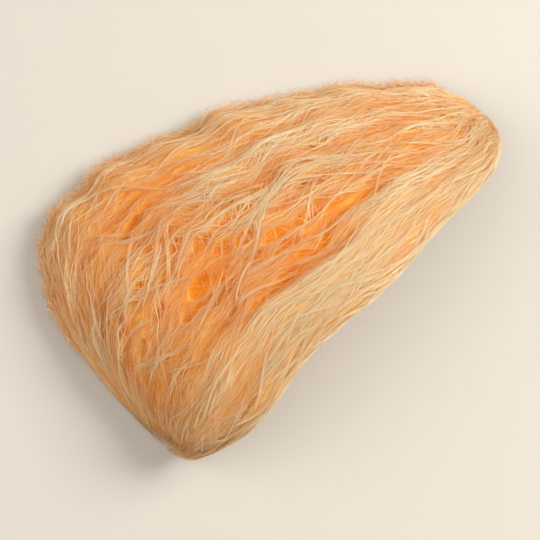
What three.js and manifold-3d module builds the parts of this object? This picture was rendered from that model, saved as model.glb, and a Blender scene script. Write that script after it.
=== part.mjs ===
// A dried edible bird's nest: half a cup of fine strands that run from foot to foot, lying on its
// back. -X and +X are its two feet, +Y is the thin edge that was fixed to a wall, -Y is the thick lip
// and the open mouth, +Z is up. Units are millimetres; the origin is under the middle of the nest.
import * as THREE from "three";
import { ParametricGeometry } from "three/addons/geometries/ParametricGeometry.js";
import { mergeVertices } from "three/addons/utils/BufferGeometryUtils.js";
import Module from "manifold-3d";

const wasm = await Module();
wasm.setup();

// Driving dimensions of the whole nest.
const LENGTH = 80; // foot to foot
const DEPTH = 43.5; // mouth to the edge that was fixed to the wall, midway between the feet
const HEIGHT = 28; // floor to the top of the lip
const WALL = 4.5; // thickness of the strand wall

// Form of the cup.
const SKEW = 0.42; // how much fuller the end at -X is than the end at +X
const BLUNT = 0.56; // roundness of the plan: 1 is a lens with pointed feet, smaller is blunter
const ARCH = 0.8; // the same for the arch of the lip
const LIP = 3.8; // radius that the lip rolls over with, at its middle
const LIP_FOOT = 2.6; // the same near the feet
const LIP_UNDER = (Math.PI * 250) / 180; // how far the lip rolls round: 90 degrees faces up
const LIP_BLEND = 0.8; // softness of the change from the slope to the lip
const LIP_OVERHANG = 1.6; // how far the middle of the lip leans out over the mouth
const LIP_WAVE = 0.6; // how far the lip waves in and out
const FOOT_PAD = 10; // length of each solid foot
const FOOT_TUCK = 5.5; // how far the tips of the feet lie behind the mouth, which rounds the corners
const EDGE_RISE = 1.4; // height of the widest line of the edge over the floor
const SOLE = 1.8; // depth of the sole under that line; the floor presses it flat
const EDGE_CURL = 1.6; // how far the sole lies inside the widest line
const EDGE_WAVE = 0.5; // how far the fixed edge waves in and out

// Locks: the bundles of strands.
const LOCKS = 42; // from the fixed edge to the underside of the lip
const GROOVE = 1.1; // depth between two locks
const LOCK_WANDER = 0.4; // sideways wave of a lock, as a share of its own width
const FOLDS = 3.1; // broad swells from the edge to the underside of the lip
const FOLD_DEPTH = 0.9;
const PITS = 44; // gaps where the net of strands is open
const PIT_DEPTH = 2;
const PIT_LENGTH = 0.032; // half length, as a share of the sweep from foot to foot
const PIT_WIDTH = 0.75; // half width, in locks
const DEEPEST = 2.8; // no groove, fold or pit goes deeper than this

// Facets.
const ROWS = 46; // along the sweep
const RIB_POINTS = 48;
const HOLLOW_ROWS = 24;
const HOLLOW_COLUMNS = 14;
const UNDERCUT = 14; // how far the cutting solids reach past the floor and the mouth

const NEST_COLOUR = 0xefc896;

// Repeatable scatter from 0 to 1 for the nth item of a series.
function scatter(n, series) {
  const wave = Math.sin(n * 12.9898 + series * 78.233) * 43758.5453;
  return wave - Math.floor(wave);
}

// How far a place on the sweep is from the feet: 0 at both feet, 1 midway.
function openness(sweep) {
  return Math.max(0, Math.sin(Math.PI * sweep));
}

// Reach of the fixed edge from the mouth, as a share of DEPTH: 0 at both feet, fuller towards -X.
function edgeReach(sweep) {
  return openness(sweep) ** BLUNT * (1 + SKEW * Math.cos(Math.PI * sweep));
}

// Height of the arch of the lip as a share of its full height: 0 at both feet.
function archRise(sweep) {
  return openness(sweep) ** ARCH;
}

// The reach with the small waves of the fixed edge.
function wavyReach(sweep) {
  const wave = Math.sin(17 * sweep) + Math.sin(39 * sweep + 1) + Math.sin(71 * sweep + 2);
  return DEPTH * edgeReach(sweep) - EDGE_WAVE * wave * openness(sweep);
}

// How far a cross-section lies behind the mouth.
function footTuck(sweep) {
  return FOOT_TUCK * (1 - openness(sweep)) ** 3;
}

// How far the lip leans out over the mouth, with its slow waves.
function lipLean(sweep) {
  return (LIP_OVERHANG + LIP_WAVE * (Math.sin(11 * sweep) + Math.sin(23 * sweep + 2))) * openness(sweep);
}

// The outline of a cross-section as a curve of (out, up), from the fixed edge over the slope and the
// lip to the lip's underside. It is the skin round a quarter ellipse and the round of the lip: for
// each direction that the skin can face, the point of whichever of the two lies further out.
function rib(sweep) {
  const open = openness(sweep);
  const reach = wavyReach(sweep);
  const rise = (HEIGHT - LIP - EDGE_RISE) * archRise(sweep);
  const round = (LIP_FOOT + (LIP - LIP_FOOT) * open) * Math.min(1, Math.sqrt(8 * open));
  const points = [];
  for (let i = 0; i <= RIB_POINTS; i++) {
    const facing = (LIP_UNDER * i) / RIB_POINTS;
    const [c, s] = [Math.cos(facing), Math.sin(facing)];
    const far = Math.hypot(reach * c, rise * s);
    const slope = facing < Math.PI / 2 ? [(reach * reach * c) / far, (rise * rise * s) / far] : [0, rise];
    const roll = [round * c - lipLean(sweep), round * s + rise];
    const ahead = roll[0] * c + roll[1] * s - (slope[0] * c + slope[1] * s);
    const lip = facing > Math.PI ? 1 : 1 / (1 + Math.exp(-ahead / LIP_BLEND));
    points.push(
      new THREE.Vector2(
        slope[0] + (roll[0] - slope[0]) * lip,
        EDGE_RISE + slope[1] + (roll[1] - slope[1]) * lip,
      ),
    );
  }
  return new THREE.SplineCurve(points);
}

// How deep the surface lies under the tops of the locks, at a sweep and a place counted in locks.
function lockInset(sweep, lock) {
  const crest = 1 - Math.abs(2 * (lock - Math.floor(lock)) - 1);
  const swell = 0.6 + 0.4 * Math.sin(2 * Math.PI * (1.7 * sweep + scatter(Math.round(lock), 1)));
  let inset = GROOVE * swell * (1 - crest);
  for (let pit = 0; pit < PITS; pit++) {
    const down = (sweep - (0.15 + 0.7 * scatter(pit, 2))) / PIT_LENGTH;
    const side = (lock - Math.round(LOCKS * (0.1 + 0.6 * scatter(pit, 3)))) / PIT_WIDTH;
    inset += PIT_DEPTH * (1 - 0.4 * crest) * Math.exp(-down * down - side * side);
  }
  const fold = FOLDS * (lock / LOCKS) + 0.2 * Math.sin(2 * Math.PI * sweep);
  inset += FOLD_DEPTH * (0.5 + 0.5 * Math.cos(2 * Math.PI * fold));
  return Math.min(inset, DEEPEST);
}

// The outside of the nest and the faces that close it, as one loop swept from foot to foot: along the
// ribs from the fixed edge to the underside of the lip, down the mouth, and back along the sole.
const LOOP_COLUMNS = 2 * LOCKS + 3;
const ribs = Array.from({ length: ROWS + 1 }, (_, row) => rib(row / ROWS));
function cup(loop, sweep, target) {
  const column = Math.round(loop * LOOP_COLUMNS) % LOOP_COLUMNS;
  const open = openness(sweep);
  const x = (-LENGTH / 2) * Math.cos(Math.PI * sweep);
  const tuck = footTuck(sweep);
  if (open < 1e-3) return target.set(x, tuck, EDGE_RISE);
  const curl = Math.min(1, 4 * open);
  if (column === 2 * LOCKS + 1) return target.set(x, tuck, EDGE_RISE - SOLE * curl);
  if (column === 2 * LOCKS + 2)
    return target.set(x, tuck + wavyReach(sweep) - EDGE_CURL * curl, EDGE_RISE - SOLE * curl);
  const lock = column / 2;
  const middle = Math.min(1, 3 * Math.sin((Math.PI * lock) / LOCKS));
  const sway = Math.sin(2 * Math.PI * (1.3 * sweep + scatter(Math.round(lock / 3), 4)));
  const share = Math.min(1, Math.max(0, (lock + LOCK_WANDER * sway * middle) / LOCKS));
  const curve = ribs[Math.round(sweep * ROWS)];
  const point = curve.getPointAt(share);
  const tangent = curve.getTangentAt(share);
  const inset = lockInset(sweep, lock) * middle * open;
  return target.set(x, tuck + point.x - inset * tangent.y, point.y + inset * tangent.x);
}

// The hollow, one wall thickness inside the cup, carried out through the mouth and the floor.
function hollow(loop, sweep, target) {
  const column = Math.round(loop * (HOLLOW_COLUMNS + 3)) % (HOLLOW_COLUMNS + 3);
  const past = UNDERCUT * Math.min(1, 5 * openness(sweep));
  const x = (FOOT_PAD - LENGTH / 2) * Math.cos(Math.PI * sweep);
  const reach = (DEPTH - WALL) * edgeReach(sweep);
  const rise = (HEIGHT - LIP - WALL) * archRise(sweep);
  if (column === HOLLOW_COLUMNS) return target.set(x, -past, rise);
  if (column === HOLLOW_COLUMNS + 1) return target.set(x, -past, -past);
  if (column === HOLLOW_COLUMNS + 2) return target.set(x, reach, -past);
  const turn = ((Math.PI / 2) * column) / (HOLLOW_COLUMNS - 1);
  return target.set(x, reach * Math.cos(turn), rise * Math.sin(turn));
}

// A closed geometry as a solid that can be joined and cut: shared points merged, collapsed facets out.
function solidOf(geometry) {
  const merged = mergeVertices(geometry.clone().deleteAttribute("normal").deleteAttribute("uv"), 1e-3);
  const index = merged.index.array;
  const triVerts = [];
  for (let i = 0; i < index.length; i += 3) {
    const [a, b, c] = index.subarray(i, i + 3);
    if (a !== b && b !== c && c !== a) triVerts.push(a, b, c);
  }
  return new wasm.Manifold(
    new wasm.Mesh({
      numProp: 3,
      vertProperties: merged.attributes.position.array,
      triVerts: new Uint32Array(triVerts),
    }),
  );
}

// A solid back as a geometry, standing on the floor with its box centred on the origin.
function centredGeometry(solid) {
  const { vertProperties, triVerts } = solid.getMesh();
  const geometry = new THREE.BufferGeometry();
  geometry.setAttribute("position", new THREE.BufferAttribute(vertProperties, 3));
  geometry.setIndex(new THREE.BufferAttribute(triVerts, 1));
  geometry.computeBoundingBox();
  const middle = geometry.boundingBox.getCenter(new THREE.Vector3());
  geometry.translate(-middle.x, -middle.y, -geometry.boundingBox.min.z);
  geometry.computeVertexNormals();
  return geometry;
}

function nestGeometry() {
  const wall = solidOf(new ParametricGeometry(cup, LOOP_COLUMNS, ROWS));
  const inside = solidOf(new ParametricGeometry(hollow, HOLLOW_COLUMNS + 3, HOLLOW_ROWS));
  const floor = new THREE.BoxGeometry(2 * LENGTH, 3 * DEPTH, UNDERCUT).translate(0, 0, -UNDERCUT / 2);
  return centredGeometry(wall.subtract(inside).subtract(solidOf(floor)));
}

const nest = new THREE.Mesh(
  nestGeometry(),
  new THREE.MeshStandardMaterial({ color: NEST_COLOUR, roughness: 0.55, metalness: 0 }),
);
nest.name = "nest";

const group = new THREE.Group();
group.add(nest);

export default group;
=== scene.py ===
# %% [markdown]
# # A dried bird's nest, strand by strand
# The real object is half a cup that a small bird spins from threads of its own saliva. The threads run
# in arcs from one foot of the cup to the other, stick to each other in locks, and dry to a pale,
# slightly see-through amber. This lesson makes one such nest lying on its back: first the smooth form
# as a table of points, then an amber core, then layer on layer of thin strands that follow the form.

import bmesh
import bpy
import numpy as np
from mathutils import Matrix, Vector


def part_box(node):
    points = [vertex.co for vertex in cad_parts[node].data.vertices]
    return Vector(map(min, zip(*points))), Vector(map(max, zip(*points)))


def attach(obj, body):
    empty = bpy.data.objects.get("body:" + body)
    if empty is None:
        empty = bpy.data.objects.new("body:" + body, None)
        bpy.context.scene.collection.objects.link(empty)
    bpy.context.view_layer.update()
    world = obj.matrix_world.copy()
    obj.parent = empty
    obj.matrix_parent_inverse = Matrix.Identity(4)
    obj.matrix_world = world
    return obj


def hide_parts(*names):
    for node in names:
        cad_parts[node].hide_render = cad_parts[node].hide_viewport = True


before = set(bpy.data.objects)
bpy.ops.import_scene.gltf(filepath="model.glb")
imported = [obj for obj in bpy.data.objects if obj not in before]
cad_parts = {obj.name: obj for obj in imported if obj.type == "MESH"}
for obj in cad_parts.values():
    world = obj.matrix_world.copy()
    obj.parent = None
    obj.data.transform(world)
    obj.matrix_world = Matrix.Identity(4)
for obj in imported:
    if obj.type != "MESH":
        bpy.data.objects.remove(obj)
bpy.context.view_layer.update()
MM = 0.001
rng = np.random.default_rng(11)  # one fixed seed, so that every run gives the same nest

# %% [markdown]
# ## The form of the half cup
# A nest could be sculpted by hand, but its form is simple: a cross-section that changes smoothly from
# foot to foot. The sweep runs from 0 at the full foot to 1 at the narrow foot. Both the plan and the
# arch of the lip are a power of a sine, which is blunt at its ends. Length, depth and height come from
# the box of the solid, so the strands stay on it.

# %% Sizes of the form
low, high = (np.array(corner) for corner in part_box("nest"))
LENGTH = high[0] - low[0]
HEIGHT = high[2] - low[2]
BLUNT = 0.56  # roundness of the plan: 1 is a lens with pointed feet, smaller is blunter
SKEW = 0.42  # how much fuller the plan is at the first foot
ARCH = 0.8  # roundness of the arch of the lip
LIP = 3.8 * MM  # radius that the lip rolls over with, at its middle
LIP_FOOT = 2.6 * MM  # the same near the feet
LIP_OVERHANG = 1.6 * MM  # how far the middle of the lip leans out over the mouth
LIP_WAVE = 0.6 * MM  # how far the lip waves in and out
LIP_UNDER = np.radians(250)  # how far the lip rolls round: 90 degrees faces up
LIP_BLEND = 0.8 * MM  # softness of the change from the slope to the lip
EDGE_RISE = 1.4 * MM  # height of the widest line of the fixed edge
EDGE_CURL = 1.6 * MM  # how far the sole lies inside that line
EDGE_WAVE = 0.5 * MM  # how far the fixed edge waves in and out
WALL = 4.5 * MM
FOOT_PAD = 10 * MM  # length of each solid foot
FOOT_TUCK = 5.5 * MM  # how far the tips of the feet lie behind the mouth
print("length and height in mm:", round(LENGTH / MM, 1), round(HEIGHT / MM, 1))


# %% How the form changes along the sweep
def openness(sweep):
    """A sine: 0 at both feet, 1 midway."""
    return np.maximum(np.sin(np.pi * sweep), 1e-7)


def edge_reach(sweep):
    """Openness to a power below 1, times 1 plus a cosine that makes the first end fuller."""
    return openness(sweep) ** BLUNT * (1 + SKEW * np.cos(np.pi * sweep))


def arch_rise(sweep):
    """Openness to a power a little below 1."""
    return openness(sweep) ** ARCH


def lip_radius(sweep):
    """From its size at the feet to its size midway with the openness, closing at the very tips."""
    lifted = openness(sweep)
    return (LIP_FOOT + (LIP - LIP_FOOT) * lifted) * np.minimum(1, np.sqrt(8 * lifted))


def lip_lean(sweep):
    """The overhang plus two slow sine waves, times the openness."""
    waves = np.sin(11 * sweep) + np.sin(23 * sweep + 2)
    return (LIP_OVERHANG + LIP_WAVE * waves) * openness(sweep)


def foot_tuck(sweep):
    """The cube of what the openness lacks to 1: it rounds the two corners of the plan."""
    return FOOT_TUCK * (1 - openness(sweep)) ** 3


every_sweep = np.linspace(0, 1, 401)
MOUTH_Y = low[1] + (lip_radius(every_sweep) + lip_lean(every_sweep)).max()
DEPTH = (high[1] - MOUTH_Y) / edge_reach(every_sweep).max()
print("depth in mm:", round(DEPTH / MM, 1))

# %% [markdown]
# ## One cross-section
# A rib of the cup starts at the fixed edge on the floor, climbs a quarter ellipse, and rolls over a
# round lip. The skin round two shapes is found by asking, for each direction it can face, which of the
# two lies further out that way. A soft switch between the two keeps the change smooth. The points are
# then spread evenly along the rib, so that a strand's place on it can be given as a plain share.


# %% Ribs from the fixed edge to the underside of the lip
def rib_outlines(sweep, facing):
    """For each facing angle, the point of the quarter ellipse or of the lip's circle, whichever lies
    further along that direction, mixed by a logistic of the distance between them."""
    lifted = openness(sweep)[:, None]
    wave = np.sin(17 * sweep) + np.sin(39 * sweep + 1) + np.sin(71 * sweep + 2)
    reach = DEPTH * edge_reach(sweep)[:, None] - EDGE_WAVE * wave[:, None] * lifted
    rise = (HEIGHT - LIP - EDGE_RISE) * arch_rise(sweep)[:, None]
    lip_round = lip_radius(sweep)[:, None]
    across, up = np.cos(facing)[None, :], np.sin(facing)[None, :]
    far = np.hypot(reach * across, rise * up)
    on_slope = (facing < np.pi / 2)[None, :]
    slope_out = np.where(on_slope, reach**2 * across / far, 0)
    slope_up = np.where(on_slope, rise**2 * up / far, rise)
    roll_out = lip_round * across - lip_lean(sweep)[:, None]
    roll_up = lip_round * up + rise
    ahead = (roll_out - slope_out) * across + (roll_up - slope_up) * up
    on_lip = np.where((facing > np.pi)[None, :], 1, 1 / (1 + np.exp(-ahead / LIP_BLEND)))
    out = slope_out + (roll_out - slope_out) * on_lip
    foot = EDGE_RISE * np.minimum(1, 0.15 + 5 * lifted)
    return out, foot + slope_up + (roll_up - slope_up) * on_lip


def spread_evenly(out, up, count):
    """The same outlines at places that are even shares of each outline's own length."""
    steps = np.hypot(np.diff(out, axis=1), np.diff(up, axis=1))
    travelled = np.concatenate([np.zeros((len(out), 1)), np.cumsum(steps, axis=1)], axis=1)
    shares = np.linspace(0, 1, count)
    even = [
        (np.interp(shares * way[-1], way, a), np.interp(shares * way[-1], way, b))
        for way, a, b in zip(travelled, out, up)
    ]
    return np.stack([a for a, b in even]), np.stack([b for a, b in even])


ROWS = 221
RIB_COLUMNS = 190
FACINGS = 700  # directions that each rib is worked out for, before its points are spread
sweeps = np.linspace(0, 1, ROWS)
outlines = rib_outlines(sweeps, np.linspace(0, LIP_UNDER, FACINGS))
rib_out, rib_up = spread_evenly(*outlines, RIB_COLUMNS)
middle_rib = np.hypot(np.diff(rib_out[ROWS // 2]), np.diff(rib_up[ROWS // 2])).sum()
print("the middle rib is", round(middle_rib / MM, 1), "mm long")

# %% [markdown]
# ## The whole skin as a closed loop
# Behind the lip the skin goes on: down the mouth to the hollow, along the hollow to the floor, and back
# along the sole to the fixed edge. Strung together these four stretches make one closed loop per rib,
# called the girth here. One table of points then serves for everything: the core is the table itself,
# and a strand is a path over it.

# %% Table of skin points
MOUTH_COLUMNS = 16
INSIDE_COLUMNS = 40
SOLE_COLUMNS = 10
MOUTH_BULGE = 2.2 * MM  # how far the mouth stands out between the lip and the hollow
FOOT_ROUND = 2.2 * MM  # how far the front of the feet rounds back towards the floor
GIRTH_COLUMNS = RIB_COLUMNS + MOUTH_COLUMNS + INSIDE_COLUMNS + SOLE_COLUMNS
LIP_END = (RIB_COLUMNS - 1) / GIRTH_COLUMNS
INSIDE_START = (RIB_COLUMNS + MOUTH_COLUMNS) / GIRTH_COLUMNS
INSIDE_END = (RIB_COLUMNS + MOUTH_COLUMNS + INSIDE_COLUMNS) / GIRTH_COLUMNS


def between(first, last, count):
    """Points on straight lines from first to last, leaving out both ends."""
    share = (np.arange(1, count + 1) / (count + 1))[None, :, None]
    return first[:, None, :] * (1 - share) + last[:, None, :] * share


def skin_table():
    """The rib, a line down the mouth that bulges like an arc, the quarter ellipse of the hollow,
    and a line along the sole. The front rounds back near the floor by a quarter circle. The first and
    the last loop shrink to the tip of a foot."""
    way = np.cos(np.pi * sweeps)[:, None]
    rib_x = np.broadcast_to(-LENGTH / 2 * way, rib_out.shape)
    rib = np.stack([rib_x, rib_out + foot_tuck(sweeps)[:, None], rib_up], axis=2)
    turn = np.linspace(np.pi / 2, 0, INSIDE_COLUMNS)[None, :]
    inside_out = (DEPTH - WALL) * edge_reach(sweeps)[:, None] * np.cos(turn)
    inside_up = (HEIGHT - LIP - WALL) * arch_rise(sweeps)[:, None] * np.sin(turn)
    inside_x = np.broadcast_to((FOOT_PAD - LENGTH / 2) * way, inside_out.shape)
    inside = np.stack([inside_x, inside_out, inside_up], axis=2)
    mouth = between(rib[:, -1], inside[:, 0], MOUTH_COLUMNS)
    share = np.arange(1, MOUTH_COLUMNS + 1) / (MOUTH_COLUMNS + 1)
    bulge = MOUTH_BULGE * np.minimum(1, 4 * openness(sweeps))[:, None]
    mouth[:, :, 1] -= bulge * np.sqrt(share * (1 - share))[None, :]
    heel = rib[:, 0] * [1, 1, 0]
    heel[:, 1] -= EDGE_CURL * openness(sweeps)
    sole = between(inside[:, -1], heel, SOLE_COLUMNS)
    table = np.concatenate([rib, mouth, inside, sole], axis=1)
    near_floor = np.clip(1 - table[:, :, 2] / FOOT_ROUND, 0, 1)
    front = np.clip(1 - table[:, :, 1] / (3 * FOOT_ROUND), 0, 1)
    table[:, :, 1] += FOOT_ROUND * (1 - np.sqrt(1 - near_floor**2)) * front
    table[:, :, 1] += MOUTH_Y
    table[[0, -1]] = table[[0, -1], :1]
    return table


skin = skin_table()
print("skin table", skin.shape)

# %% [markdown]
# ## Folds and outward directions
# The wall of a nest isn't even: broad folds run along it, as in a cloth that has dried on a line. They
# move the table in and out along its own outward directions. Blender would work out such directions on
# a finished mesh, but every strand needs them before there is one, so they are worked out here.

# %% Folded skin
FOLDS = 3.1  # broad swells from the fixed edge to the underside of the lip
FOLD_DEPTH = 0.9 * MM


def unit(vectors):
    """Each vector divided by its own length."""
    return vectors / np.maximum(np.linalg.norm(vectors, axis=-1, keepdims=True), 1e-12)


def outward(table):
    """The cross product of the steps round the girth and along the sweep, at length 1."""
    round_girth = np.roll(table, -1, axis=1) - np.roll(table, 1, axis=1)
    along_sweep = np.gradient(table, axis=0)
    facing = np.cross(round_girth, along_sweep)
    facing[0], facing[-1] = facing[1], facing[-2]
    return unit(facing)


def fold_depth(sweep, share):
    """A cosine over the way up the rib, bent by a sine along the sweep: broad swells of the wall that
    die out at the edge, at the underside of the lip and at the feet."""
    swell = 0.5 + 0.5 * np.cos(2 * np.pi * (FOLDS * share + 0.2 * np.sin(2 * np.pi * sweep)))
    held = np.minimum(1, 3 * np.sin(np.pi * np.clip(share, 0, 1)))
    return FOLD_DEPTH * swell * held * openness(sweep)


rib_share = np.arange(GIRTH_COLUMNS)[None, :] / (RIB_COLUMNS - 1)
skin = skin - outward(skin) * fold_depth(sweeps[:, None], rib_share)[..., None]
skin_facing = outward(skin)
print("skin from", skin.min((0, 1)).round(4), "to", skin.max((0, 1)).round(4))

# %% [markdown]
# ## Reading the table between its points
# A strand passes between the points of the table. Blender's shrinkwrap could pull it onto a mesh, but
# reading the table at a place between four points is quicker for all strands at once, and it takes a
# depth under the skin as well.


# %% A place on the skin
def read_table(table, row, column):
    """The mean of the four table points round a place, weighted by nearness; columns wrap round."""
    row_floor = np.minimum(row.astype(int), ROWS - 2)
    column_floor = column.astype(int) % GIRTH_COLUMNS
    next_column = (column_floor + 1) % GIRTH_COLUMNS
    down, aside = (row - row_floor)[..., None], (column - np.floor(column))[..., None]
    near = table[row_floor, column_floor] * (1 - aside) + table[row_floor, next_column] * aside
    far = table[row_floor + 1, column_floor] * (1 - aside) + table[row_floor + 1, next_column] * aside
    return near * (1 - down) + far * down


def on_skin(sweep, girth, depth):
    """The table's point there, moved inwards by the depth; the outward direction comes with it."""
    row = np.clip(sweep, 0, 1) * (ROWS - 1)
    column = np.mod(girth, 1) * GIRTH_COLUMNS
    facing = unit(read_table(skin_facing, row, column))
    return read_table(skin, row, column) - facing * depth[..., None], facing


lip_top, _ = on_skin(np.array(0.5), np.array(0.8 * LIP_END), np.array(0.0))
print("top of the lip at", lip_top.round(4))

# %% [markdown]
# ## From numbers to a mesh
# A mesh wants vertices, and faces as runs of vertex numbers. `foreach_set` takes a whole array at once,
# which is the quick way in for tens of thousands of strands. The tone is a number per vertex that the
# material reads later: 0 is deep amber, 1 is pale cream.


# %% A helper that makes a piece
def piece_from_arrays(name, points, face_corners, face_sizes, numbers, material):
    """Loads points, faces and named numbers per vertex as they are, smooth shaded, and puts the piece
    on the nest's body."""
    mesh = bpy.data.meshes.new(name)
    mesh.vertices.add(len(points))
    mesh.vertices.foreach_set("co", points.astype(np.float32).ravel())
    mesh.loops.add(len(face_corners))
    mesh.loops.foreach_set("vertex_index", face_corners.astype(np.int32))
    mesh.polygons.add(len(face_sizes))
    starts = np.concatenate([[0], np.cumsum(face_sizes)[:-1]])
    mesh.polygons.foreach_set("loop_start", starts.astype(np.int32))
    mesh.polygons.foreach_set("use_smooth", np.ones(len(face_sizes), dtype=bool))
    for label, values in numbers.items():
        attribute = mesh.attributes.new(label, "FLOAT", "POINT")
        attribute.data.foreach_set("value", values.astype(np.float32).ravel())
    mesh.update(calc_edges=True)
    mesh.materials.append(material)
    piece = bpy.data.objects.new(name, mesh)
    bpy.context.scene.collection.objects.link(piece)
    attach(piece, "root")
    print(name, "has", int((face_sizes - 2).sum()), "triangles")
    return piece


# %% [markdown]
# ## Finishes
# Dried saliva is a clear amber horn. A single thread looks almost white, a thick heap of them goes
# peach and then orange, because light loses its blue on the way through. So one ramp of colour serves
# for everything, read by the tone of each vertex. The tone carries painted light as well: deeper
# strands are painted more orange as painted shade, and the lip, tufts and top bundles paler as painted
# highlight. A noise shifts the tone a little, since no thread is even. Part of the light goes straight
# through, which a translucent shader mixed with the main one gives.

# %% What both finishes share
AMBER_TO_CREAM = [
    (0.0, (1.0, 0.36, 0.0)),
    (0.3, (1.0, 0.5, 0.08)),
    (0.6, (1.0, 0.655, 0.285)),
    (0.8, (1.0, 0.77, 0.44)),
    (1.0, (1.0, 0.88, 0.63)),
]


def add_node(tree, kind, inputs):
    """A new node; each input named here is set to a value, or linked to another node's socket."""
    node = tree.nodes.new("ShaderNode" + kind)
    for key, value in inputs.items():
        if isinstance(value, bpy.types.NodeSocket):
            tree.links.new(value, node.inputs[key])
        else:
            node.inputs[key].default_value = value
    return node


def vertex_number(tree, label):
    """The socket of a named number per vertex."""
    node = add_node(tree, "Attribute", {})
    node.attribute_name = label
    return node.outputs["Fac"]


def amber_ramp(tree, tone):
    """The socket of the colour that the ramp has at a tone."""
    ramp = add_node(tree, "ValToRGB", {"Fac": tone})
    stops = ramp.color_ramp.elements
    while len(stops) < len(AMBER_TO_CREAM):
        stops.new(0.5)
    for stop, (position, colour) in zip(stops, AMBER_TO_CREAM):
        stop.position = position
        stop.color = (*colour, 1)
    return ramp.outputs["Color"]


def finish_by_tone(tree, noise, swing, surface_inputs, through):
    """The tone plus the swing times the noise less a half, read through the ramp as the colour of a
    surface, of which a share is a translucent shader of the same colour."""
    shift = add_node(tree, "Math", {0: noise, 1: swing, 2: -swing / 2})
    shift.operation = "MULTIPLY_ADD"
    tone = add_node(tree, "Math", {0: shift.outputs[0], 1: vertex_number(tree, "tone")})
    colour = amber_ramp(tree, tone.outputs[0])
    surface = add_node(tree, "BsdfPrincipled", {"Base Color": colour, **surface_inputs})
    glow = add_node(tree, "BsdfTranslucent", {"Color": colour})
    both = add_node(tree, "MixShader", {"Fac": through, 1: surface.outputs[0], 2: glow.outputs[0]})
    add_node(tree, "OutputMaterial", {"Surface": both.outputs[0]})


def empty_material(name):
    """A material whose node tree has no nodes yet."""
    material = bpy.data.materials.new(name)
    material.use_nodes = True
    material.node_tree.nodes.clear()
    return material


print("ramp of", len(AMBER_TO_CREAM), "colours from amber to cream")

# %% [markdown]
# ## Finish of the strands
# A dried thread has a satin gloss and a fine speckle along it. The speckle could be a picture wrapped
# round each rod, but a noise in the space of the object needs no wrapping and suits any strand.


# %% Dried strand
def strand_finish():
    """A fine noise in object space swings the tone; half of the light goes through."""
    material = empty_material("dried_strand")
    tree = material.node_tree
    place = add_node(tree, "TexCoord", {})
    speckle = add_node(tree, "TexNoise", {"Vector": place.outputs["Object"], "Scale": 420, "Detail": 3})
    satin = {"Roughness": 0.24, "Specular IOR Level": 0.8}
    finish_by_tone(tree, speckle.outputs["Fac"], swing=0.3, surface_inputs=satin, through=0.5)
    return material


dried_strand = strand_finish()
print("finish:", dried_strand.name)

# %% [markdown]
# ## Finish of the core
# Under the strands lies a mass in which the single threads can only just be told apart. A noise in
# object space would be blotchy there. The core has two numbers per vertex instead, one that counts the
# locks across and one that counts millimetres along. A noise over these two, drawn out along the
# strands, gives streaks that follow every bend, in the colour and as low relief.

# %% Amber core
STREAKS = (2.0, 0.25, 1.0)  # how often the noise changes in a lock's width, and in a millimetre along it


def core_finish():
    """A noise over the numbers across and along swings the tone and the relief; light scatters under
    the surface, red furthest."""
    material = empty_material("amber_core")
    tree = material.node_tree
    across, along = vertex_number(tree, "across"), vertex_number(tree, "along")
    flow = add_node(tree, "CombineXYZ", {0: across, 1: along})
    stretch = add_node(tree, "VectorMath", {0: flow.outputs[0], 1: STREAKS})
    stretch.operation = "MULTIPLY"
    noise = add_node(tree, "TexNoise", {"Vector": stretch.outputs[0], "Scale": 1, "Detail": 3})
    streaks = noise.outputs["Fac"]
    relief = add_node(tree, "Bump", {"Distance": 0.5 * MM, "Strength": 0.7, "Height": streaks})
    horn = {
        "Roughness": 0.5,
        "Specular IOR Level": 0.2,
        "Normal": relief.outputs[0],
        "Subsurface Weight": 0.6,
        "Subsurface Radius": (1.0, 0.4, 0.1),
        "Subsurface Scale": 2 * MM,
    }
    finish_by_tone(tree, streaks, swing=0.9, surface_inputs=horn, through=0.3)
    return material


amber_core = core_finish()
print("finish:", amber_core.name)

# %% [markdown]
# ## Lock lines
# Threads don't lie one by one: they dry together in locks, and the locks part and meet again, which
# leaves the lens-shaped gaps of the net. Each lock has a home on the girth and four waves of its own
# round it. The waves are strong in the middle of the slope, where the net is open, and weaker at the
# lip, where the bird laid its threads close, and grow again under it. A slow sway that all locks share
# keeps the whole from looking combed.

# %% Homes and waves of the locks
LOCKS = 84
lock_pitch = LIP_END / LOCKS
lock_home = (np.arange(LOCKS) + 0.5 + rng.uniform(-0.3, 0.3, LOCKS)) * lock_pitch
lock_phase = rng.random((LOCKS, 4))
lock_rates = np.array([1.6, 3.9, 7.5, 12.5]) * rng.uniform(0.8, 1.2, (LOCKS, 4))
lock_swings = np.array([0.9, 0.5, 0.22, 0.08])
girth_per_mm = LIP_END * MM / middle_rib


def looseness(girth):
    """A hump over the girth: small at the fixed edge, 1 in the middle of the slope, small at the lip,
    and larger again under it."""
    share = girth / LIP_END
    hump = np.clip(share / 0.1, 0.3, 1) / (1 + np.exp((share - 0.68) / 0.03))
    return 0.48 + 0.52 * hump + 0.25 * np.clip((share - 0.8) / 0.08, 0, 1)


def common_sway(sweep, girth):
    """Three crossing sine waves of a millimetre or so, damped at the feet, the edge and the lip."""
    share = girth / LIP_END
    waves = (
        1.2 * np.sin(2 * np.pi * (1.7 * sweep + 1.3 * share))
        + 0.6 * np.sin(2 * np.pi * (2.9 * sweep - 2.2 * share + 0.3))
        + 0.25 * np.sin(2 * np.pi * (4.7 * sweep + 3.1 * share + 0.7))
    )
    return girth_per_mm * waves * np.minimum(1, 2 * openness(sweep)) * looseness(girth)


def lock_line(lock, sweep):
    """The home of a lock plus four sine waves along the sweep, in widths of a lock, plus the common
    sway."""
    angle = sweep[..., None] * lock_rates[lock] + lock_phase[lock]
    sway = (lock_swings * np.sin(2 * np.pi * angle)).sum(-1)
    line = lock_home[lock] + lock_pitch * looseness(lock_home[lock]) * sway
    return line + common_sway(sweep, line)


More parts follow.
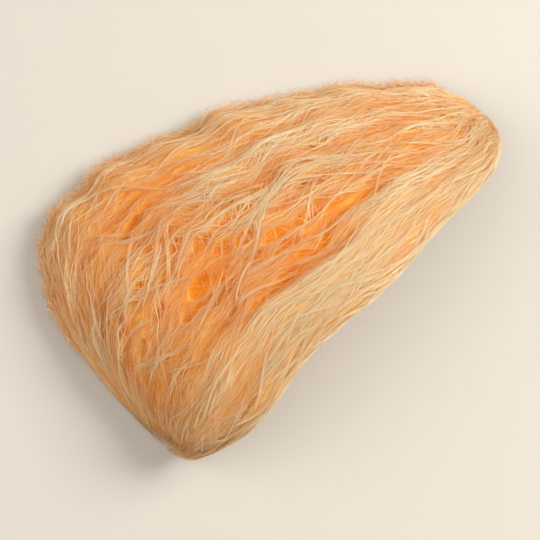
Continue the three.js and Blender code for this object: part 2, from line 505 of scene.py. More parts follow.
print(LOCKS, "locks,", round(lock_pitch / girth_per_mm, 2), "mm from one to the next")

# %% [markdown]
# ## Gaps of the net
# Where strands are pushed aside, they bow round a gap on both sides and close behind it. Each gap is a
# lens with a place, a half length along the sweep and a half width round the girth. A strand at a small
# distance from its middle line moves out to the root of the sum of squares of that distance and the
# lens's half width there, so nothing crosses the gap and far strands hardly move. The main gaps have
# places of their own, given as distances from the full foot and from the mouth: a row of them makes the
# crease behind the lip. Small ones are strewn between, and under the lip.

# %% Places of the gaps
MAIN_GAPS = [  # from the full foot, from the mouth, half length and half width, in mm
    (45, 13.6, 3.6, 1.3),
    (39, 9.8, 4.2, 1.2),
    (33, 9.4, 4.0, 1.0),
    (28, 9.8, 2.6, 1.0),
    (22, 19, 2.4, 1.7),
    (26, 17.7, 2.2, 1.3),
    (32, 15.5, 1.8, 1.0),
    (40, 24, 4.6, 1.2),
    (44, 28, 2.6, 0.8),
    (42, 39, 3.0, 0.8),
    (23, 36, 3.0, 1.0),
    (22, 30, 2.8, 0.9),
    (14, 26, 2.6, 1.0),
    (8, 24, 2.4, 0.9),
    (14, 21, 1.8, 0.8),
    (35, 23, 3.8, 1.0),
    (28, 29, 2.6, 0.9),
    (54, 22, 3.2, 0.7),
    (51, 16, 3.0, 0.7),
    (33, 33, 2.8, 0.8),
    (21, 35.5, 1.6, 0.9),
    (25, 27, 1.8, 1.2),
    (28, 24, 1.8, 1.3),
    (30, 20.5, 1.8, 1.3),
    (34, 19, 2.2, 1.3),
    (38, 15.5, 2.4, 1.3),
    (42, 18, 3.0, 1.0),
    (32, 29.5, 2.4, 1.0),
    (50, 21, 3.2, 0.9),
    (36, 36, 2.6, 0.9),
    (17, 17, 1.6, 1.0),
    (20, 24, 1.6, 1.2),
]
SMALL_GAPS = 130
sweep_per_mm = MM / (LENGTH * 1.25)  # an arc from foot to foot is about a quarter longer than the nest


def girth_at(sweep, out):
    """Where the rib at this sweep stands this far from the mouth, found along the falling outline."""
    outline = rib_out[int(round(sweep * (ROWS - 1)))]
    return np.interp(-out, -outline, np.arange(RIB_COLUMNS)) / GIRTH_COLUMNS


def places_on_skin(from_foot, from_mouth):
    """The sweep is the angle whose cosine falls evenly from foot to foot, as a share of half a turn;
    the girth is read off the rib there. Both distances are in mm."""
    sweep = np.arccos(1 - 2 * from_foot * MM / LENGTH) / np.pi
    girth = [girth_at(place, out) for place, out in zip(sweep, from_mouth * MM)]
    return sweep, np.array(girth)


main_gaps = np.array(MAIN_GAPS)
main_sweep, main_girth = places_on_skin(main_gaps[:, 0], main_gaps[:, 1])
gap_sweep = np.concatenate([main_sweep, rng.uniform(0.16, 0.87, SMALL_GAPS)])
small_share = rng.uniform(0.06, 0.86, SMALL_GAPS)
small_share += 0.13 * (small_share > 0.72)  # none on the top of the lip
gap_girth = np.concatenate([main_girth, LIP_END * small_share])
gap_length = np.concatenate([main_gaps[:, 2], rng.uniform(1.6, 4.0, SMALL_GAPS)]) * sweep_per_mm
gap_width = np.concatenate([main_gaps[:, 3], rng.uniform(0.2, 0.6, SMALL_GAPS)]) * girth_per_mm


def bow_round_gaps(sweep, girth):
    """Adds up, over the gaps, the sideways push that takes a strand from distance d to the root of d
    squared plus the lens's half width squared."""
    push = np.zeros_like(girth)
    for place, line, length, width in zip(gap_sweep, gap_girth, gap_length, gap_width):
        half = width**2 * np.maximum(0, 1 - ((sweep - place) / length) ** 2)
        aside = girth - line
        push += np.sign(aside) * (np.sqrt(aside**2 + half) - np.abs(aside))
    return girth + push


print(len(gap_sweep), "gaps, the longest", round(2 * gap_length.max() / sweep_per_mm, 1), "mm")

# %% [markdown]
# ## Swells
# Between the gaps the strands crowd together in tufts that stand up and catch the light, and hollows
# lie beside them. Both are long bells on the skin, tufts up and hollows down. The same bells paint the
# tone as well: paler on tufts as painted highlight, darker in hollows as painted shade. The main tufts
# have places of their own: a band along the lip, painted bright, and a second one across the upper
# slope.

# %% Places of the tufts and hollows
MAIN_TUFTS = [  # from the full foot, from the mouth, half length and half width, in mm, and the height
    (33, 2.6, 9, 2.2, 0.8),
    (47, 3.2, 10, 2.4, 1.0),
    (57, 5.5, 6, 2.0, 1.0),
    (39, 30, 7, 2.0, 1.0),
    (51, 26.8, 7, 1.8, 1.0),
    (58, 21, 6, 1.6, 0.8),
    (46, 19.6, 6, 1.5, 0.9),
    (34, 24, 6, 1.4, 0.7),
    (18, 30, 6, 1.6, 0.5),
    (36, 7.8, 10, 1.3, -1.1),
    (50, 10, 8, 1.4, -1.0),
    (24, 19.5, 5, 2.0, -0.8),
    (42, 25, 7, 1.2, -0.7),
    (27, 33, 6, 1.5, -0.6),
]
SMALL_SWELLS = 90
SWELL_RISE = 0.8 * MM  # how far a swell of height 1 lifts the skin
SWELL_LIMIT = 1.2  # swells that add up stop at this height
tufts = np.array(MAIN_TUFTS)
tuft_sweep, tuft_girth = places_on_skin(tufts[:, 0], tufts[:, 1])
swell_sweep = np.concatenate([tuft_sweep, rng.uniform(0.06, 0.94, SMALL_SWELLS)])
swell_girth = np.concatenate([tuft_girth, LIP_END * rng.uniform(0.03, 0.9, SMALL_SWELLS)])
swell_length = np.concatenate([tufts[:, 2], rng.uniform(3, 8, SMALL_SWELLS)]) * sweep_per_mm
swell_width = np.concatenate([tufts[:, 3], rng.uniform(0.6, 1.4, SMALL_SWELLS)]) * girth_per_mm
swell_height = np.concatenate([tufts[:, 4], rng.uniform(-0.8, 0.8, SMALL_SWELLS)])


def swell(sweep, girth):
    """The sum of the bells: above 0 on a tuft, below 0 in a hollow."""
    total = np.zeros(np.broadcast(sweep, girth).shape)
    for place, line, length, width, height in zip(
        swell_sweep, swell_girth, swell_length, swell_width, swell_height
    ):
        total += height * np.exp(-(((sweep - place) / length) ** 2) - ((girth - line) / width) ** 2)
    return np.clip(total, -SWELL_LIMIT, SWELL_LIMIT)


print(len(swell_sweep), "swells, the longest", round(2 * swell_length.max() / sweep_per_mm, 1), "mm")

# %% [markdown]
# ## The core
# Under the loose strands lies the mass that has dried together. A plain smooth shell would do where
# strands cover it, but it shows in the gaps, so it needs a relief of its own: a rounded ridge along
# every lock and a pit in every gap. Both are numbers on the skin table, worked out for all of its
# points at once.

# %% Ridges, pits and streaks
RIDGE_WIDTH = 0.36 * girth_per_mm
core_lines = lock_line(np.arange(LOCKS)[None, :], np.repeat(sweeps[:, None], LOCKS, axis=1))
core_lines = np.sort(bow_round_gaps(sweeps[:, None], core_lines), axis=1)


def ridges(girth):
    """For every row of the table, the highest of the bell curves that stand on the lock lines."""
    aside = (girth[None, :, None] - core_lines[:, None, :]) / RIDGE_WIDTH
    return np.exp(-(aside**2)).max(2)


def lock_count(girth):
    """For every point of the table, how many lock lines it lies past, read between the lines and
    counted on past the last one: a number that stays the same along a strand."""
    past = np.maximum(0, girth[None, :] - core_lines[:, -1:]) / lock_pitch
    return past + np.stack([np.interp(girth, lines, np.arange(LOCKS)) for lines in core_lines])


def pits(sweep, girth):
    """For every point of the table, how far it lies inside the nearest gap: 1 on the gap's middle line,
    0 outside its lens."""
    inside = np.zeros(girth.shape)
    for place, line, length, width in zip(gap_sweep, gap_girth, gap_length, gap_width):
        lens = 1 - ((sweep - place) / length) ** 2 - ((girth - line) / width) ** 2
        inside = np.maximum(inside, lens)
    return np.sqrt(inside)


print("ridges on", core_lines.shape[1], "lock lines, each of", core_lines.shape[0], "points")

# %% [markdown]
# ## A closed shell under the strands
# The core is the skin table set in a little, so that it lies under the strands. It stands for the solid
# of the nest and closes it, and no light leaks through where strands are thin. Its tone is painted
# light and shade: ridges, tufts and the lip paler as painted highlight, grooves orange and pits deep
# orange as painted shade, and the inside of the cup paler to lift its shade. At the fixed edge it
# stays back, because loose strands go on alone there.

# %% Core of the nest
RIDGE_DEPTH = 0.65 * MM
GROOVE_DEPTH = 1.0 * MM
PIT_DEPTH = 0.9 * MM
EDGE_INSET = 1.4 * MM  # how far the core stays back from the fixed edge
EDGE_FADE = 0.06  # the share of the girth on either side of the edge over which it does


def smooth_step(share):
    """0 below 0, 1 above 1, and three squares less two cubes between."""
    share = np.clip(share, 0, 1)
    return share * share * (3 - 2 * share)


def lip_share(girth):
    """0 on the slope, 1 on the lip, with a smooth step between."""
    return smooth_step((girth / LIP_END - 0.62) / 0.14)


def near_feet(sweep):
    """Depths shrink where the cup is thin: 1 along most of the sweep, 0 at the two feet."""
    return np.minimum(1, 3 * openness(sweep))


def core_piece():
    """The table moved in along its own outward directions, less on ridges and more in pits; doubled
    points at the two feet are merged, which closes the loop there."""
    columns = np.arange(GIRTH_COLUMNS) / GIRTH_COLUMNS
    girth = np.broadcast_to(columns[None, :], skin.shape[:2])
    sweep = np.broadcast_to(sweeps[:, None], skin.shape[:2])
    on_rib = smooth_step(np.minimum((girth + 0.02) / 0.03, (LIP_END - girth) / 0.02))
    ridge, pit, tuft = ridges(columns), pits(sweep, girth), swell(sweep, girth)
    depth = RIDGE_DEPTH + (GROOVE_DEPTH - RIDGE_DEPTH) * (1 - ridge)
    depth = depth + PIT_DEPTH * pit - SWELL_RISE * tuft
    points = skin - skin_facing * (depth * on_rib * near_feet(sweep))[..., None]
    from_edge = np.minimum(columns, 1 - columns)
    inset = EDGE_INSET * smooth_step(1 - from_edge / EDGE_FADE)[None, :] * near_feet(sweep)
    points -= skin_facing[:, :1] * [1, 1, 0] * inset[..., None]
    points[:, :, 2] = np.maximum(points[:, :, 2], 0)
    corner = np.arange(ROWS * GIRTH_COLUMNS).reshape(ROWS, GIRTH_COLUMNS)
    after = np.roll(corner, -1, axis=1)
    quads = np.stack([corner[:-1], after[:-1], after[1:], corner[1:]], axis=-1).reshape(-1)
    # painted light and shade: ridges, lip and tufts paler, pits darker orange, the inside paler
    painted_light_and_shade = 0.12 * ridge - 0.45 * pit + 0.2 * lip_share(girth) + 0.1 * tuft
    tone = 0.29 + painted_light_and_shade * on_rib + 0.38 * (1 - on_rib)
    numbers = {"tone": tone, "across": lock_count(columns), "along": sweep / sweep_per_mm}
    sizes = np.full(len(quads) // 4, 4)
    core = piece_from_arrays("nest_core", points.reshape(-1, 3), quads, sizes, numbers, amber_core)
    shell = bmesh.new()
    shell.from_mesh(core.data)
    bmesh.ops.remove_doubles(shell, verts=shell.verts, dist=1e-6)
    shell.to_mesh(core.data)
    open_edges = sum(1 for edge in shell.edges if not edge.is_manifold)
    volume = shell.calc_volume(signed=True) * 1e6
    print("core: open edges", open_edges, "volume in cubic cm", round(volume, 2))
    shell.free()
    return core


core = core_piece()
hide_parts("nest")

# %% [markdown]
# ## A strand
# A thread could be a bevelled curve, but tens of thousands of curves are slow and don't export. Here a
# strand is a rod of three sides carried along its path: at each step three corners stand round the path
# across its direction, and each end closes in a point. Thin at the ends and thick in the middle, it has
# a few dozen triangles.

# %% Rods along many paths at once
SIDES = 3
OVER_FLOOR = 0.05 * MM  # no corner of a strand lies lower


def rod_faces(rings):
    """Vertex numbers of one rod's faces: quads between rings, and triangles to the first and the last
    point, which come after the rings. The number of corners of each face comes with them."""
    ring, side = np.meshgrid(np.arange(rings - 1), np.arange(SIDES), indexing="ij")
    here, beside = ring * SIDES + side, ring * SIDES + (side + 1) % SIDES
    quads = np.stack([here, here + SIDES, beside + SIDES, beside], axis=-1).reshape(-1)
    sides = np.arange(SIDES)
    beside = (sides + 1) % SIDES
    first, last = np.full(SIDES, rings * SIDES), np.full(SIDES, rings * SIDES + 1)
    end_ring = (rings - 1) * SIDES
    start = np.stack([first, sides, beside], axis=-1).reshape(-1)
    end = np.stack([end_ring + sides, last, end_ring + beside], axis=-1).reshape(-1)
    sizes = np.concatenate([np.full(SIDES * (rings - 1), 4), np.full(2 * SIDES, 3)])
    return np.concatenate([quads, start, end]), sizes


def strand_piece(name, paths, facing, radius, tone):
    """Corners at a third of a turn from each other round every path. The radius swells along the strand
    with a power of a sine, from about a third at its ends."""
    count, steps = paths.shape[:2]
    rings = steps - 2
    ahead = unit(np.gradient(paths, axis=1))
    aside = unit(np.cross(ahead, facing))
    above = np.cross(aside, ahead)
    turn = (np.pi / 2 + 2 * np.pi * np.arange(SIDES) / SIDES)[:, None]
    spokes = np.cos(turn) * aside[:, 1:-1, None] + np.sin(turn) * above[:, 1:-1, None]
    taper = 0.35 + 0.65 * np.sin(np.pi * np.linspace(0, 1, steps)[1:-1]) ** 0.6
    corners = paths[:, 1:-1, None] + spokes * (radius[:, None] * taper)[:, :, None, None]
    points = np.concatenate([corners.reshape(count, -1, 3), paths[:, :1], paths[:, -1:]], axis=1)
    points[:, :, 2] = np.maximum(points[:, :, 2], OVER_FLOOR)
    pattern, sizes = rod_faces(rings)
    offsets = np.arange(count)[:, None] * (rings * SIDES + 2)
    on_rings = np.repeat(tone[:, 1:-1], SIDES, axis=1)
    numbers = {"tone": np.concatenate([on_rings, tone[:, :1], tone[:, -1:]], axis=1)}
    faces = (pattern[None, :] + offsets).reshape(-1)
    piece_from_arrays(name, points.reshape(-1, 3), faces, np.tile(sizes, count), numbers, dried_strand)


print("a strand of ten steps has", int((rod_faces(8)[1] - 2).sum()), "triangles")

# %% [markdown]
# ## The way of a strand
# No two threads have the same length, slant or wave, so each strand draws its own. A strand's numbers
# stand in a column, and numpy spreads them over its steps: that makes thousands of paths in a few lines
# with no loop.


# %% Random lengths, slants and waves
def per_strand(least, most, count):
    """One random number for each strand, as a column."""
    return rng.uniform(least, most, (count, 1))


def stretches(count, steps, shortest, longest, first=0.002, last=0.998):
    """Sweep values of strands with random middles and lengths in mm, cut off near the feet."""
    middle = per_strand(first, last, count)
    length = per_strand(shortest, longest, count) * sweep_per_mm
    start, end = np.maximum(middle - length / 2, first), np.minimum(middle + length / 2, last)
    return start + (end - start) * np.linspace(0, 1, steps)[None, :]


def slanted(sweep, girth, degrees):
    """The girth with a sideways drift along each strand, at a random slant of about this many degrees
    where the net is loose and less where it is not."""
    angle = np.radians(np.clip(rng.normal(0, degrees, (len(sweep), 1)), -50, 50))
    slant = np.tan(angle) * looseness(girth)
    return girth + slant * (sweep - sweep.mean(1, keepdims=True)) / sweep_per_mm * girth_per_mm


def waver(sweep, size, shortest_wave, longest_wave):
    """A wave of random size and phase along each strand; wave lengths in mm."""
    count = len(sweep)
    rate = 1 / (per_strand(shortest_wave, longest_wave, count) * sweep_per_mm)
    height = size * per_strand(0.2, 1, count)
    return height * np.sin(2 * np.pi * (rate * sweep + rng.random((count, 1))))


def tucked(sweep, amount):
    """Extra depth that grows with the sixth power of the distance from the strand's middle."""
    share = np.linspace(-1, 1, sweep.shape[1])[None, :]
    return amount * share**6


print("a millimetre of the sweep is", round(sweep_per_mm, 4), "and of the girth", round(girth_per_mm, 4))

# %% [markdown]
# ## Laying strands
# Every layer ends in the same way: the paths go onto the skin, and each strand gets a radius and a tone.
# The tone paints in what light does in a heap of threads: painted highlight at the top, at the lip and
# on tufts, and painted shade, more orange, the deeper a strand lies.

# %% Place, radius and tone
EDGE_START = 0.002  # the first place on the girth that strands of the outside lie at


def laid(sweep, girth, depth):
    """A path on the skin, lifted on tufts and lowered in hollows, and pressed flat at the feet."""
    return on_skin(sweep, girth, (depth - SWELL_RISE * swell(sweep, girth)) * near_feet(sweep))


def tone_of(sweep, girth, depth):
    """Two thirds, more at the lip and on tufts as painted highlight and less in hollows as painted
    shade, and less by 0.42 for each millimetre of depth as painted shade.
    """
    # painted light and shade: paler at the lip and on tufts, darker in hollows
    raised = 0.15 * lip_share(girth) + 0.27 * swell(sweep, girth)
    return 0.67 + raised - 0.42 * depth / MM


def lay_strands(name, placed, thinnest, thickest, tone, spread=0.1):
    """Rods along the placed paths, with a random radius in mm between two and a random shade round the
    tone for each strand."""
    paths, facing = placed
    count, steps = paths.shape[:2]
    radius = rng.uniform(thinnest, thickest, count) * MM
    shade = np.broadcast_to(tone, (count, steps)) + rng.normal(0, spread, (count, 1))
    strand_piece(name, paths, facing, radius, shade)


print("tone at the lip:", round(float(tone_of(0.5, np.array(0.8 * LIP_END), 0.0)), 2))

# %% [markdown]
# ## Under net
# Eight layers cover the outside. In the gaps one looks down on the first, threads that cross at all
# angles below the rest. A painted ground would look flat, so short strands are strewn in and round every
# gap, at steep slants and about a millimetre deep.


# %% Under net
def under_net(count):
    """Short paths across the gaps at steep slants, at a depth of about a millimetre."""
    gap = rng.integers(0, len(gap_sweep), count)[:, None]
    length = per_strand(2.5, 7, count) * sweep_per_mm
    middle = gap_sweep[gap] + gap_length[gap] * per_strand(-1.3, 1.3, count)
    sweep = middle + length * np.linspace(-0.5, 0.5, 6)[None, :]
    girth = gap_girth[gap] + gap_width[gap] * per_strand(-1.6, 1.6, count)
    girth = slanted(sweep, girth, degrees=30)
    girth = np.clip(girth + waver(sweep, 0.2 * girth_per_mm, 4, 9), EDGE_START, LIP_END)
    depth = per_strand(0.5, 1.8, count) * MM + waver(sweep, 0.2 * MM, 4, 9)
    tone = tone_of(sweep, girth, depth) + 0.1
    lay_strands("under_net", laid(sweep, girth, depth), 0.025, 0.05, tone)


under_net(1400)

# %% [markdown]
# ## Locks
# Most threads lie in locks, rounded like locks of hair. A lock could be one thick rod, but its single
# threads show. So each strand follows the line of its lock at a place of its own in a round section, and
# about a third of them change over to the next lock on the way. Both ends dive under the neighbours,
# because a real thread doesn't end in the open.


# %% Locks
def strand_locks(count):
    """Paths that keep their place in a lock with a round section; some change over to the next lock."""
    sweep = stretches(count, steps=10, shortest=8, longest=20)
    lock = rng.integers(0, LOCKS, count)[:, None]
    beside = np.clip(lock + rng.choice([-1, 1], (count, 1)), 0, LOCKS - 1)
    share = np.linspace(0, 1, sweep.shape[1])[None, :]
    changes = rng.random((count, 1)) < 0.35
    crossing = changes * smooth_step((share - per_strand(0, 0.6, count)) / 0.4)
    girth = lock_line(lock, sweep) * (1 - crossing) + lock_line(beside, sweep) * crossing
    place = per_strand(-1, 1, count)
    girth = girth + 0.42 * girth_per_mm * place + waver(sweep, 0.2 * girth_per_mm, 4, 10)
    girth = slanted(sweep, girth, degrees=11)
    girth = np.clip(bow_round_gaps(sweep, girth), EDGE_START, LIP_END)
    depth = (0.3 * place**2 + 0.3 * rng.random((count, 1))) * MM + tucked(sweep, 0.5 * MM)
    tone = tone_of(sweep, girth, depth)
    lay_strands("strand_locks", laid(sweep, girth, depth), 0.02, 0.045, tone)


strand_locks(2500)

# %% [markdown]
# ## Tie strands
# Threads that leave one lock and join another hold the net together, and without them the locks look
# combed. A tie is a mix of two lock lines: a smooth step along the strand takes it from all of the one
# to all of the other.


# %% Tie strands
def tie_strands(count):
    """Paths from one lock to one of the five locks on either side of it, easing out of the one and into
    the other."""
    sweep = stretches(count, steps=8, shortest=5, longest=12)
    lock = rng.integers(0, LOCKS, count)[:, None]
    away = rng.choice([-5, -4, -3, -2, -1, 1, 2, 3, 4, 5], (count, 1))
    beyond = np.clip(lock + away, 0, LOCKS - 1)
    crossing = smooth_step(np.linspace(0, 1, sweep.shape[1])[None, :])
    girth = lock_line(lock, sweep) * (1 - crossing) + lock_line(beyond, sweep) * crossing
    girth = bow_round_gaps(sweep, girth + waver(sweep, 0.25 * girth_per_mm, 3.5, 8))
    girth = np.clip(girth, EDGE_START, LIP_END)
    depth = per_strand(0, 0.6, count) * MM + tucked(sweep, 0.5 * MM)
    tone = tone_of(sweep, girth, depth) + 0.05
    lay_strands("tie_strands", laid(sweep, girth, depth), 0.018, 0.038, tone)


tie_strands(4200)

# %% [markdown]
# ## Finest threads
# The thinnest threads lie over all others, a little out of line with them, and give the silky sheen. A
# noise in the material could hint at them, but only real rods catch the light one by one.


# %% Finest threads
def finest_threads(count):
    """Long thin paths at the skin, a little off the direction of the locks."""
    sweep = stretches(count, steps=10, shortest=5, longest=13)
    lock = rng.integers(0, LOCKS, count)[:, None]
    girth = lock_line(lock, sweep) + 0.35 * girth_per_mm * rng.normal(0, 1, (count, 1))
    girth = slanted(sweep, girth, degrees=24)
    girth = bow_round_gaps(sweep, girth + waver(sweep, 0.28 * girth_per_mm, 3.5, 9))
    girth = np.clip(girth, EDGE_START, LIP_END)
    depth = per_strand(-0.15, 0.35, count) * MM + waver(sweep, 0.1 * MM, 5, 10)
    depth = depth + tucked(sweep, 0.4 * MM)
    tone = tone_of(sweep, girth, depth) + 0.12
    lay_strands("finest_threads", laid(sweep, girth, depth), 0.014, 0.03, tone)


finest_threads(3000)

# %% [markdown]
# ## Cords
# Here and there many threads have dried to one thick cord. Their tone is raised by a third as painted
# highlight, which makes them the pale lines that the eye follows first. Strewn at random they would lie
# evenly, but on the real nest they crowd on the tufts. So three places are tried for each cord, and the
# highest of them is taken.


# %% Cords
def cords(count):
    """Thick paths on the locks, painted pale as a highlight: of three places tried at random, each takes
    the one that is raised most."""
    middle = rng.beta(2.4, 1.8, (count, 3))
    lock = rng.integers(2, LOCKS, (count, 3))
    best = swell(middle, lock_line(lock, middle)).argmax(1)[:, None]
    middle, lock = np.take_along_axis(middle, best, 1), np.take_along_axis(lock, best, 1)
    length = per_strand(6, 18, count) * sweep_per_mm
    sweep = np.clip(middle + length * np.linspace(-0.5, 0.5, 11)[None, :], 0.01, 0.99)
    girth = lock_line(lock, sweep) + waver(sweep, 0.2 * girth_per_mm, 5, 12)
    girth = slanted(sweep, girth, degrees=16)
    girth = np.clip(bow_round_gaps(sweep, girth), EDGE_START, LIP_END)
    depth = per_strand(0, 0.35, count) * MM + tucked(sweep, 0.6 * MM)
    # painted highlight: cords are made paler by a third than their depth gives
    tone = tone_of(sweep, girth, depth) + 0.34
    lay_strands("cords", laid(sweep, girth, depth), 0.04, 0.1, tone, spread=0.08)


cords(700)

# %% [markdown]
# ## Crossing locks
# Some bundles were laid across the others, and they do most to break up the run of the lines. A bundle
# is a handful of strands with one bent path in common. Each keeps a distance of its own from that path,
# small in the middle and larger towards the ends, as if the bundle were tied in its middle.


# %% Crossing locks
def crossing_locks(name, count, strands, first, last):
    """Bundles over the other strands at slants of 12 to 45 degrees, from the first to the last girth.
    The strands of a bundle lie close in its middle, and fan out and dive under towards its ends."""

    def shared(values):
        """One number for each bundle, repeated for its strands."""
        return values.repeat(strands, axis=0)

    total = count * strands
    along = np.linspace(-1, 1, 8)[None, :]
    middle = shared(rng.beta(2.0, 1.7, (count, 1)))
    home = shared(per_strand(first, last, count))
    half = shared(per_strand(2.5, 7, count)) * per_strand(0.8, 1.2, total)
    degrees = rng.choice([-1, 1], (count, 1)) * per_strand(12, 45, count)
    slant = shared(np.tan(np.radians(degrees))) * looseness(home)
    bend = shared(per_strand(-0.8, 0.8, count))
    sweep = np.clip(middle + half * sweep_per_mm * along, 0.01, 0.99)
    aside = rng.normal(0, 1, (total, 1)) * (0.14 + 0.3 * along**2)
    girth = home + (slant * half * along + bend * along**2 + aside) * girth_per_mm
    girth = girth + common_sway(sweep, girth) + waver(sweep, 0.12 * girth_per_mm, 4, 9)
    girth = np.clip(girth, EDGE_START, INSIDE_END)
    depth = per_strand(-0.2, 0.25, total) * MM + tucked(sweep, 0.6 * MM)
    # painted highlight: bundles on top are made paler
    tone = tone_of(sweep, girth, depth) + 0.27
    lay_strands(name, laid(sweep, girth, depth), 0.02, 0.042, tone, spread=0.08)


crossing_locks("crossing_locks", count=140, strands=8, first=0.06 * LIP_END, last=0.84 * LIP_END)

# %% [markdown]
# ## Stray threads
# A few single threads cross locks and gaps alike, at any slant. They need no lock line: a straight path
# over the skin with a slow wave is enough.


# %% Stray threads
def stray_threads(count):
    """Thin paths at the skin at any slant up to steep ones, straight over locks and gaps."""
    sweep = stretches(count, steps=8, shortest=3, longest=10, first=0.04, last=0.96)
    girth = slanted(sweep, per_strand(0.03, 0.85, count) * LIP_END, degrees=40)
    girth = np.clip(girth + waver(sweep, 0.6 * girth_per_mm, 5, 10), EDGE_START, LIP_END)
    depth = per_strand(-0.1, 0.4, count) * MM + waver(sweep, 0.1 * MM, 4, 9)
    depth = depth + tucked(sweep, 0.5 * MM)
    # painted highlight: stray threads are made paler
    tone = tone_of(sweep, girth, depth) + 0.18
    lay_strands("stray_threads", laid(sweep, girth, depth), 0.02, 0.042, tone)


stray_threads(1500)

# %% [markdown]
# ## Fuzz
# Broken ends stand off everywhere as a short down, which softens the surface and its outline. Hair
# particles are Blender's usual tool for down, but they don't become part of a mesh. Such short strands
# need only five steps.


# %% Fuzz
def fuzz(count):
    """Very short and thin paths, whose one end stands off the skin with the square of the way along."""
    along = np.linspace(0, 1, 5)[None, :]
    way = rng.normal(0, 1, (count, 1)) * per_strand(0.8, 2.5, count) * sweep_per_mm
    sweep = np.clip(per_strand(0.03, 0.97, count) + way * along, 0.01, 0.99)
    aside = rng.normal(0, 1, (count, 1)) * per_strand(0.3, 1.5, count) * girth_per_mm
    girth = np.clip(per_strand(0, 1, count) * LIP_END + aside * along, EDGE_START, LIP_END)
    depth = 0.3 * MM - per_strand(0.3, 1.3, count) * MM * along**2
    tone = tone_of(sweep, girth, 0.0) + 0.1
    lay_strands("fuzz", laid(sweep, girth, depth), 0.015, 0.028, tone)


fuzz(2800)

# %% [markdown]
# ## The inside and the mouth
# The lining of the cup is the same net, laid smoother. It covers the faces of the two feet at the mouth
# as well, which are on the same loop of the girth, so one function serves for both.


# %% Lining
def lining_strands(count):
    """Paths along the sweep on the stretch of the girth from under the lip to the floor of the hollow,
    some of them over and some of them half sunk in the skin."""
    sweep = stretches(count, steps=8, shortest=6, longest=24, first=0.004, last=0.996)
    girth = slanted(sweep, per_strand(LIP_END, INSIDE_END, count), degrees=25)
    girth = np.clip(girth + waver(sweep, 0.3 * girth_per_mm, 6, 15), LIP_END - 0.01, INSIDE_END)
    depth = per_strand(-0.4, 0, count) * MM + waver(sweep, 0.1 * MM, 5, 12)
    depth = depth + tucked(sweep, 0.5 * MM)
    # painted light: pale to lift the shade inside the cup; darker with depth as painted shade
    tone = 0.66 - 0.6 * depth / MM
    lay_strands("lining_strands", on_skin(sweep, girth, depth), 0.03, 0.14, tone)


lining_strands(1800)

# %% [markdown]
# ## Locks across the mouth
# With the lining alone, the underside of the lip and the fronts of the feet look combed and hard. On the
# real nest the bundles of the outside go on round the lip, so the same function is used once more, on
# the stretch of the girth from the front of the lip to the hollow.

# %% Mouth locks
crossing_locks("mouth_locks", count=170, strands=8, first=0.82 * LIP_END, last=INSIDE_START + 0.02)

# %% [markdown]
# ## Loose ends at the fixed edge
# At the edge that held to the wall the threads were torn off, and their ends stand off by a millimetre
# or two. They are strands too: their depth runs below zero towards one end, which lifts it off the skin.


# %% Frayed edge
def frayed_edge(count):
    """Short paths along the fixed edge whose free end lifts off with the square of the way along."""
    along = np.linspace(0, 1, 7)[None, :]
    way = rng.choice([-1, 1], (count, 1)) * per_strand(1, 7, count) * sweep_per_mm
    sweep = np.clip(per_strand(0.03, 0.97, count) + way * along, 0.008, 0.992)
    girth = 0.05 * rng.random((count, 1)) ** 2 - per_strand(0, 0.02, count) * along
    girth = np.maximum(girth + waver(sweep, 0.3 * girth_per_mm, 3, 8), -0.01)
    lift = per_strand(0.1, 2.4, count) * MM * along**2 * near_feet(sweep)
    depth = per_strand(0, 0.6, count) * MM * (1 - along) - lift
    lay_strands("frayed_edge", on_skin(sweep, girth, depth), 0.03, 0.07, tone=0.65)


frayed_edge(1800)

# %% [markdown]
# ## Loose ends at the feet
# At the two feet all threads come together and fan out like the hairs of a brush, on the outside and at
# the front. The bare core would end in a hard corner there. One function makes both pieces, between two
# places on the girth.


# %% Frayed feet and their fronts
def frayed_feet(name, count, first, last, tip):
    """Short paths over the skin towards the tip of a foot, between two places on the girth. Their free
    end lifts off with the square of the way along, and comes no nearer to the tip than given."""
    along = np.linspace(0, 1, 7)[None, :]
    from_tip = per_strand(0.02, 0.15, count) * (1 - along)
    from_tip = from_tip + per_strand(tip, 0.015, count) * along
    sweep = np.abs(rng.choice([0, 1], (count, 1)) - from_tip)
    girth = per_strand(first, last, count) + waver(sweep, 0.4 * girth_per_mm, 4, 9)
    girth = np.clip(girth, EDGE_START, last)
    depth = 0.2 * MM * (1 - along) - per_strand(0.1, 1.5, count) * MM * along**2
    lay_strands(name, on_skin(sweep, girth, depth), 0.025, 0.06, tone=0.68)


frayed_feet("frayed_feet", count=800, first=0.01 * LIP_END, last=0.97 * LIP_END, tip=0.0003)
frayed_feet("frayed_fronts", count=700, first=LIP_END, last=INSIDE_START, tip=0.006)

# %% [markdown]
# ## Loose ends at the mouth
# Short ends also stand off the underside of the lip. They are made as those of the fixed edge are, and
# keep the long line of the lip from looking cut with a knife.


# %% Frayed mouth
def frayed_mouth(count):
    """Short paths along the underside of the lip whose free end lifts off with the square of the way
    along."""
    along = np.linspace(0, 1, 6)[None, :]
    way = rng.choice([-1, 1], (count, 1)) * per_strand(1, 6, count) * sweep_per_mm
    sweep = np.clip(per_strand(0.006, 0.994, count) + way * along, 0.003, 0.997)
    girth = per_strand(LIP_END - 0.02, INSIDE_START + 0.01, count)
    girth = girth + waver(sweep, 0.4 * girth_per_mm, 3, 8)
    depth = 0.1 * MM - per_strand(0.1, 1.4, count) * MM * along**2
    lay_strands("frayed_mouth", on_skin(sweep, girth, depth), 0.03, 0.08, tone=0.72)


frayed_mouth(1300)

# %% [markdown]
# ## Floor
# The nest lies on a plain pale floor that takes its shadow. It is shown with the nest and isn't a part
# of it.


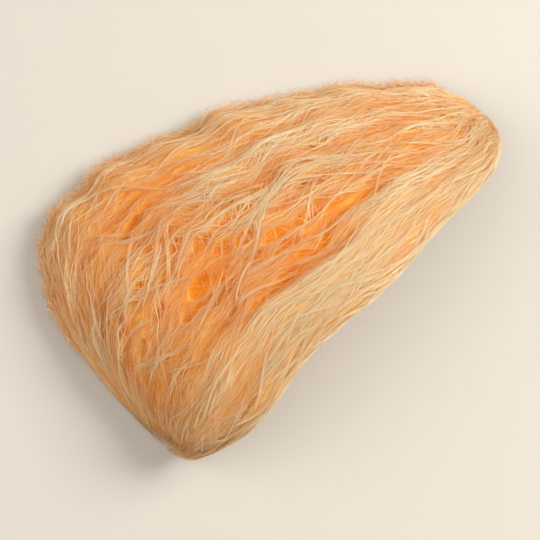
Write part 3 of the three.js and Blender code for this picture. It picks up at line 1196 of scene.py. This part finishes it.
# %% Floor
def pale_floor():
    """A square of one face, far larger than the view."""
    half = 2.0
    corners = [(-half, -half, 0), (half, -half, 0), (half, half, 0), (-half, half, 0)]
    mesh = bpy.data.meshes.new("floor")
    mesh.from_pydata(corners, [], [(0, 1, 2, 3)])
    material = bpy.data.materials.new("pale_floor")
    material.use_nodes = True
    surface = material.node_tree.nodes["Principled BSDF"]
    surface.inputs["Base Color"].default_value = (0.46, 0.437, 0.4, 1)
    surface.inputs["Roughness"].default_value = 0.7
    mesh.materials.append(material)
    floor = bpy.data.objects.new("floor", mesh)
    bpy.context.scene.collection.objects.link(floor)
    return floor


pale_floor()
print("floor laid")

# %% [markdown]
# ## Light
# Threads this fine turn to black lines under a hard lamp, so all three lights are broad squares. The
# strongest stands at the side of the lip and brings out the bright band there. One from above softens
# it, one from behind shines through the thin edge, and a pale surround fills the rest. The Standard view
# keeps the colours as they are set.


# %% Lights
def soft_light(name, place, power, size, colour):
    """A square area light at the place, turned to look at the middle of the nest."""
    light = bpy.data.lights.new(name, "AREA")
    light.energy = power
    light.size = size
    light.color = colour
    lamp = bpy.data.objects.new(name, light)
    lamp.location = place
    lamp.rotation_euler = (Vector((0, 0, 0.01)) - Vector(place)).to_track_quat("-Z", "Y").to_euler()
    bpy.context.scene.collection.objects.link(lamp)


soft_light("top", (-0.12, 0.05, 0.55), power=1.4, size=0.5, colour=(1.0, 0.96, 0.9))
soft_light("key", (0.32, -0.2, 0.38), power=3.8, size=0.25, colour=(1.0, 0.96, 0.9))
soft_light("back", (-0.3, 0.3, 0.3), power=1.0, size=0.4, colour=(1.0, 0.93, 0.84))
world = bpy.data.worlds.new("surround")
world.use_nodes = True
surround = world.node_tree.nodes["Background"]
surround.inputs["Color"].default_value = (1.0, 0.95, 0.88, 1)
surround.inputs["Strength"].default_value = 0.42
bpy.context.scene.world = world
bpy.context.scene.view_settings.view_transform = "Standard"
print("lights set")

# %% [markdown]
# ## Camera
# The camera looks down from over the full foot, so that the lip is at the lower right. A long lens from
# half a metre away keeps the form true. Its focal length is worked out from how wide the nest is in
# the picture, and its place from the middle of what it sees.

# %% Camera
AZIMUTH, ELEVATION = np.radians(-47), np.radians(82)
DISTANCE = 0.5
FILLED = 0.86  # share of the picture that the nest takes up
level = np.cos(ELEVATION)
back = np.array([np.sin(AZIMUTH) * level, -np.cos(AZIMUTH) * level, np.sin(ELEVATION)])
right = np.array([np.cos(AZIMUTH), np.sin(AZIMUTH), 0])
up = np.cross(back, right)
seen = skin.reshape(-1, 3) @ np.stack([right, up, back], axis=1)
middle = (seen.min(0) + seen.max(0)) / 2
span = (seen.max(0) - seen.min(0))[:2].max()
lens = bpy.data.cameras.new("camera")
lens.lens = lens.sensor_width * DISTANCE * FILLED / span
lens.clip_start = 0.01
camera = bpy.data.objects.new("camera", lens)
camera.location = middle[0] * right + middle[1] * up + (middle[2] + DISTANCE) * back
camera.rotation_euler = Vector(-back).to_track_quat("-Z", "Y").to_euler()
bpy.context.scene.collection.objects.link(camera)
bpy.context.scene.camera = camera
print("camera at", [round(value, 3) for value in camera.location], "lens", round(lens.lens))
